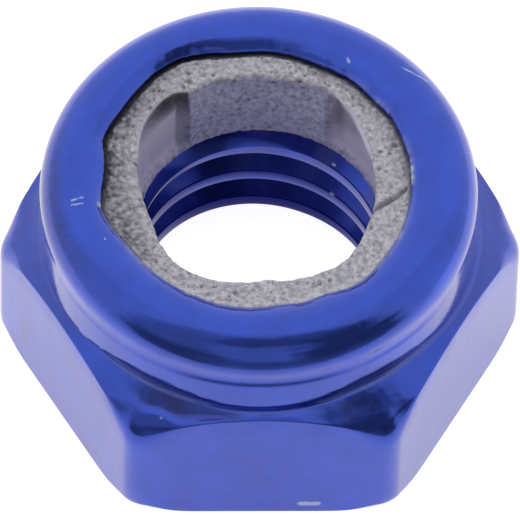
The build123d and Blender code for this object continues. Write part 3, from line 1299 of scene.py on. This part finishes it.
# %% Metal, roughness and relief
STREAK_WIDTH = 0.111  # mm
STREAK_LENGTH = 2  # mm
SKIN_SIZE = 0.2  # mm, the soft orange peel of the oxide skin
RELIEF = 0.003  # mm
bared_and_highlit = add_node(tree, "Math", {"operation": "MULTIPLY", 1: 1.4}, {0: marks["wear_and_highlight"]})
metal = add_node(tree, "MapRange", {1: 0, 2: 1, 3: 1, 4: 0.3},
                 {0: strongest(tree, [bared_and_highlit.outputs[0], dulling_and_sheen.outputs[0]])})
tree.links.new(metal.outputs[0], shader.inputs["Metallic"])
drawn = add_node(tree, "VectorMath",
                 {"operation": "MULTIPLY",
                  1: (1 / STREAK_WIDTH, 1 / STREAK_WIDTH, 1 / STREAK_LENGTH)}, {0: place})
streak = add_node(tree, "TexNoise", {"Scale": 1, "Detail": 3}, {0: drawn.outputs[0]})
gloss = add_node(tree, "MapRange", {1: 0.3, 2: 0.7, 3: 0.11, 4: 0.22}, {0: streak.outputs[0]})
rough = add_node(tree, "Math", {"operation": "MULTIPLY_ADD", 1: 0.3},
                 {0: strongest(tree, [chips_and_glints, marks["wear_and_highlight"], dulling_and_sheen.outputs[0]]),
                  2: gloss.outputs[0]})
tree.links.new(rough.outputs[0], shader.inputs["Roughness"])
skin = add_node(tree, "TexNoise", {"Scale": 1 / SKIN_SIZE, "Detail": 4, "Roughness": 0.6},
                {0: place})
relief = add_node(tree, "Math", {"operation": "ADD"}, {0: streak.outputs[0], 1: skin.outputs[0]})
bump = add_node(tree, "Bump", {"Strength": 0.5, "Distance": RELIEF * MM},
                {"Height": relief.outputs[0]})
tree.links.new(bump.outputs[0], shader.inputs["Normal"])
print("streaks", STREAK_WIDTH, "mm wide and", STREAK_LENGTH, "mm long")

# %% [markdown]
# ## The clear coat
# The sealed skin mirrors white light whatever the dye below it is. In the dark grooves of the
# thread little light comes in, and a white shine would turn them grey. They could be given a
# material of their own, but then its border would show, so the mark of oil and painted shade takes
# most of the coat away there.

# %% Coat
coat = add_node(tree, "MapRange", {1: 0, 2: 1, 3: 1, 4: 0.12}, {0: marks["oil_and_shade"]})
tree.links.new(coat.outputs[0], shader.inputs["Coat Weight"])
shader.inputs["Coat Roughness"].default_value = 0.1
shader.inputs["Coat IOR"].default_value = 1.7  # aluminium oxide is close to this
nut_body.data.materials.clear()
nut_body.data.materials.append(blue)
print(nut_body.name, "wears", blue.name)

# %% [markdown]
# ## Pale nylon
# The insert is moulded nylon, which is off-white and slightly waxy. It shows no mirror image, only
# a broad soft sheen. Light that scatters under the skin could be added for the waxy look, but it
# is slow to render and the grain would hide it. The top was squeezed and scuffed when the lip was
# rolled, so it is speckled grey. The wall in the hole is cleaner, and its lilac tint is painted
# light, as if bounced from the blue metal round it. Pits hold dirt and painted shadow. The grain is
# about a tenth of a millimetre wide and a hundredth deep, as a rough mould leaves it.

# %% Colour of the nylon
white, tree, shader = new_material("pale_nylon")
GRAIN_SIZE = 0.091  # mm
PATCH_SIZE = 0.385  # mm
TOP_EDGE = 4.42  # mm, height at which the ring's top ends
WALL_EDGE = 4.3  # mm, height at which its wall begins
place = in_millimetres(tree)
marks = {name: add_node(tree, "Attribute", {"attribute_name": name}).outputs["Fac"]
         for name in ("pit", "grime_and_shade", "polish_and_light")}
fine = add_node(tree, "TexNoise", {"Scale": 1 / GRAIN_SIZE, "Detail": 3, "Roughness": 0.6},
                {0: place})
grains = add_node(tree, "MapRange", {1: 0.36, 2: 0.62, 3: 0, 4: 1}, {0: fine.outputs[0]})
broad = add_node(tree, "TexNoise", {"Scale": 1 / PATCH_SIZE, "Detail": 3}, {0: place})
patches = add_node(tree, "MapRange", {1: 0.35, 2: 0.65, 3: 0, 4: 0.45}, {0: broad.outputs[0]})
crown = add_node(tree, "Mix", {"data_type": "RGBA", UNDER: linear("#A9A7B5"),
                               OVER: linear("#F0EDF6")}, {0: grains.outputs[0]})
cloudy = add_node(tree, "Mix", {"data_type": "RGBA", OVER: linear("#C3C5D2")},
                  {0: patches.outputs[0], UNDER: crown.outputs[MIXED]})
# painted bounce light: the wall in the hole is tinted lilac, as by light from the blue metal
wall = add_node(tree, "Mix", {"data_type": "RGBA", UNDER: linear("#B6B3DA"),
                              OVER: linear("#E9E6FD")}, {0: grains.outputs[0]})
level = add_node(tree, "SeparateXYZ", {}, {0: place})
inside = add_node(tree, "MapRange", {1: TOP_EDGE, 2: WALL_EDGE, 3: 0, 4: 1},
                  {0: level.outputs["Z"]})
clean = add_node(tree, "Mix", {"data_type": "RGBA"},
                 {0: inside.outputs[0], UNDER: cloudy.outputs[MIXED], OVER: wall.outputs[MIXED]})
print(white.name, "with a grain of", GRAIN_SIZE, "mm")

# %% Polish and painted light, grime and painted shade, and pits on the nylon
# pockets painted paler as light; gap, crack and pocket corners darker as grime and shade; pits
# darker as dirt and shade
grime_and_shade = add_node(tree, "MapRange", {1: 0, 2: 1, 3: 0, 4: 0.93}, {0: marks["grime_and_shade"]})
dark = add_node(tree, "MapRange", {1: 0.0, 2: 0.8, 3: 0, 4: 0.75}, {0: marks["pit"]})
soiled = clean.outputs[MIXED]
for cover, hex_colour in ((marks["polish_and_light"], "#EFEAFF"), (grime_and_shade.outputs[0], "#1B2029"),
                          (dark.outputs[0], "#454A60")):
    layer = add_node(tree, "Mix", {"data_type": "RGBA", OVER: linear(hex_colour)},
                     {0: cover, UNDER: soiled})
    soiled = layer.outputs[MIXED]
tree.links.new(soiled, shader.inputs["Base Color"])
print("colours in", len(tree.nodes), "nodes")

# %% Sheen and grain of the nylon
GRAIN_DEPTH = 0.012  # mm
dullness = add_node(tree, "MapRange", {1: 0.3, 2: 0.7, 3: 0.5, 4: 0.7}, {0: fine.outputs[0]})
tree.links.new(dullness.outputs[0], shader.inputs["Roughness"])
grain = add_node(tree, "Bump", {"Strength": 0.6, "Distance": GRAIN_DEPTH * MM},
                 {"Height": fine.outputs[0]})
tree.links.new(grain.outputs[0], shader.inputs["Normal"])
nylon.data.materials.clear()
nylon.data.materials.append(white)
print(nylon.name, "wears", white.name)

# %% [markdown]
# ## Paper
# The nut stands on white paper that reaches beyond the edges of the view. Uncoated paper is matt:
# it scatters light evenly and has no shine. Lit by lamps alone it would come out grey or uneven,
# so it glows a little. The camera sees it evenly lit and almost white. The metal mirrors it as a
# bright floor that darkens towards the camera, because the camera and its stand keep light off it
# there. The paper lies a hundredth of a millimetre low, so that it and the bearing face don't
# share a plane, and from below it is clear.

# %% Lay the paper
PAPER_WIDTH = 0.16  # metres, like the other sizes of the stage
PAPER_DEPTH = 0.12
PAPER_FRONT = 0.011  # how far it comes forward of the nut's middle
PAPER_DROP = 0.01 * MM
bpy.ops.object.select_all(action="DESELECT")
bpy.ops.mesh.primitive_plane_add(size=1)
floor = bpy.context.object
floor.name = "paper"
floor.scale = (PAPER_WIDTH, PAPER_DEPTH, 1)
floor.location = (0, PAPER_DEPTH / 2 - PAPER_FRONT, -PAPER_DROP)
bpy.ops.object.transform_apply(location=True, scale=True)
print("paper", PAPER_WIDTH / MM, "x", PAPER_DEPTH / MM, "mm")

# %% White paper
DARK_FROM = -0.0035  # metres, where the floor's mirror image starts to darken
paper, tree, shader = new_material("white_paper")
shader.inputs["Base Color"].default_value = linear("#EFEDEB")
shader.inputs["Roughness"].default_value = 0.9
shader.inputs["Specular IOR Level"].default_value = 0.2
path = add_node(tree, "LightPath")
tint = add_node(tree, "Mix", {"data_type": "RGBA", UNDER: linear("#FFF3EF"), OVER: (1, 1, 1, 1)},
                {0: path.outputs["Is Camera Ray"]})
tree.links.new(tint.outputs[MIXED], shader.inputs["Emission Color"])
where = add_node(tree, "TexCoord")
parts = add_node(tree, "SeparateXYZ", {}, {0: where.outputs["Object"]})
falling = add_node(tree, "MapRange", {1: -PAPER_FRONT, 2: DARK_FROM, 3: 0.12, 4: 0.57},
                   {0: parts.outputs["Y"]})
mirrored = add_node(tree, "Math", {"operation": "MULTIPLY"},
                    {0: path.outputs["Is Glossy Ray"], 1: falling.outputs[0]})
seen = add_node(tree, "Math", {"operation": "MULTIPLY_ADD", 1: 0.94},
                {0: path.outputs["Is Camera Ray"], 2: mirrored.outputs[0]})
tree.links.new(seen.outputs[0], shader.inputs["Emission Strength"])
facing = add_node(tree, "NewGeometry")
clear = add_node(tree, "BsdfTransparent")
one_sided = add_node(tree, "MixShader", {},
                     {0: facing.outputs["Backfacing"], 1: shader.outputs[0], 2: clear.outputs[0]})
tree.links.new(one_sided.outputs[0], tree.nodes["Material Output"].inputs["Surface"])
floor.data.materials.append(paper)
print(floor.name, "wears", paper.name)

# %% [markdown]
# ## The light tent
# A polished nut is a mirror, so what it looks like is decided by the room around it. The room is a
# light tent: seven upright panels of white cloth round the nut, brighter behind and dimmer towards
# the camera, all of them bright at the ceiling. Each panel is a ramp of brightness against height.
# Lamps would give small hot spots, and the broad soft bands on the collar need broad panels. The
# camera itself sees plain white behind the nut: the panels show only where they are mirrored and
# in what they light.

# %% Panels of the tent
PANELS = (  # direction in degrees where it starts (0 is the camera's side), brightness by height
    (-180, ((-90, 0.85), (-10, 0.85), (10, 0.75), (90, 0.74))),
    (-115, ((-90, 0.85), (-10, 0.72), (20, 0.68), (60, 0.66), (90, 0.74))),
    (-61, ((-90, 0.8), (-48, 0.55), (-34, 0.3), (-22, 0.18), (5, 0.16), (15, 0.24), (28, 0.36),
           (60, 0.37), (72, 0.45), (82, 0.6), (90, 0.73))),
    (-22, ((-90, 0.8), (-45, 0.6), (-30, 0.43), (-18, 0.25), (-5, 0.24), (5, 0.37), (14, 0.47),
           (51, 0.47), (57, 0.22), (70, 0.22), (79, 0.45), (86, 0.62), (90, 0.72))),
    (20, ((-90, 0.8), (-48, 0.56), (-32, 0.44), (-18, 0.26), (-5, 0.15), (5, 0.12), (50, 0.13),
          (60, 0.17), (72, 0.27), (82, 0.42), (90, 0.7))),
    (63, ((-90, 0.85), (-10, 0.75), (20, 0.66), (60, 0.64), (90, 0.74))),
    (118, ((-90, 0.85), (-10, 0.85), (10, 0.75), (90, 0.74))),
)
print(len(PANELS), "panels")

# %% Directions in the tent
world = bpy.data.worlds.new("light_tent")
bpy.context.scene.world = world
world.use_nodes = True
tree = world.node_tree
tree.nodes.clear()
SWAY = radians(7)  # the cloth hangs in soft folds, so its edges wander by this much
where = add_node(tree, "TexCoord")
parts = add_node(tree, "SeparateXYZ", {}, {0: where.outputs["Generated"]})
folds = add_node(tree, "TexNoise", {"Scale": 2.5, "Detail": 2}, {0: where.outputs["Generated"]})
sway = add_node(tree, "MapRange", {1: 0.3, 2: 0.7, 3: -SWAY, 4: SWAY}, {0: folds.outputs[0]})
level = add_node(tree, "Math", {"operation": "ARCSINE"}, {0: parts.outputs["Z"]})
rise = add_node(tree, "Math", {"operation": "ADD"}, {0: level.outputs[0], 1: sway.outputs[0]})
toward = add_node(tree, "Math", {"operation": "MULTIPLY", 1: -1}, {0: parts.outputs["Y"]})
heading = add_node(tree, "Math", {"operation": "ARCTAN2"},
                   {0: parts.outputs["X"], 1: toward.outputs[0]})
bearing = add_node(tree, "Math", {"operation": "ADD"},
                   {0: heading.outputs[0], 1: sway.outputs[0]})
print("folds of", round(degrees(SWAY)), "degrees")


# %% Hang the panels
def elevation_ramp(stops):
    """Brightness against elevation, in degrees, as a colour ramp."""
    spread = add_node(tree, "MapRange", {1: radians(-90), 2: radians(90), 3: 0, 4: 1},
                      {0: rise.outputs[0]})
    ramp = add_node(tree, "ValToRGB", {}, {0: spread.outputs[0]})
    band = ramp.color_ramp
    while len(band.elements) < len(stops):
        band.elements.new(0.5)
    for element, (elevation, brightness) in zip(band.elements, stops):
        element.position = (elevation + 90) / 180
    for element, (elevation, brightness) in zip(band.elements, stops):
        element.color = (brightness, brightness, brightness, 1)
    return ramp.outputs[0]


SEAM = 7  # degrees over which one panel fades into the next, to each side
room = elevation_ramp(PANELS[0][1])
for start, stops in PANELS[1:]:
    entered = add_node(tree, "MapRange",
                       {"interpolation_type": "SMOOTHSTEP", 1: radians(start - SEAM),
                        2: radians(start + SEAM)}, {0: bearing.outputs[0]})
    room = add_node(tree, "Mix", {"data_type": "RGBA"},
                    {0: entered.outputs[0], UNDER: room,
                     OVER: elevation_ramp(stops)}).outputs[MIXED]
path = add_node(tree, "LightPath")
shown = add_node(tree, "Mix", {"data_type": "RGBA", OVER: (1, 1, 1, 1)},
                 {0: path.outputs["Is Camera Ray"], UNDER: room})
sky = add_node(tree, "Background", {}, {0: shown.outputs[MIXED]})
add_node(tree, "OutputWorld", {}, {0: sky.outputs[0]})
print("tent of", len(tree.nodes), "nodes")

# %% [markdown]
# ## The camera
# A small part is best seen from far away through a long lens, because then its far side looks
# hardly smaller than its near side. The camera stands a quarter of a metre off, looks down steeply
# and is turned a little about its line of sight. Standard view transform leaves the colours as
# they were mixed.

# %% Set up the camera
LENS = 980  # mm, on a sensor 36 mm wide
TILT = 1.5  # degrees about the line of sight
camera_data = bpy.data.cameras.new("camera")
camera = bpy.data.objects.new("camera", camera_data)
bpy.context.scene.collection.objects.link(camera)
bpy.context.scene.camera = camera
eye = Vector((-4.62, -138.06, 208.36)) * MM
aim = Vector((0.037, 0.907, 0.607)) * MM
camera.location = eye
camera.rotation_mode = "QUATERNION"
look = (aim - eye).to_track_quat("-Z", "Y")
camera.rotation_quaternion = look @ Quaternion((0, 0, 1), radians(TILT))
camera_data.lens = LENS
camera_data.sensor_width = 36
camera_data.clip_start = 0.01
camera_data.clip_end = 10
bpy.context.scene.view_settings.view_transform = "Standard"
print("camera", round((eye - aim).length / MM), "mm away")

# %% [markdown]
# ## Hand over
# Neither piece moves in use, so both ride the one body that the frame has. Each takes the place of
# the plain piece it was made from.

# %% Ride and replace
for piece, node, slot in ((nut_body, "nut_body", "blue_anodised_aluminium"),
                          (nylon, "nylon_insert", "pale_nylon")):
    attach(piece, "root")
    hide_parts(node)
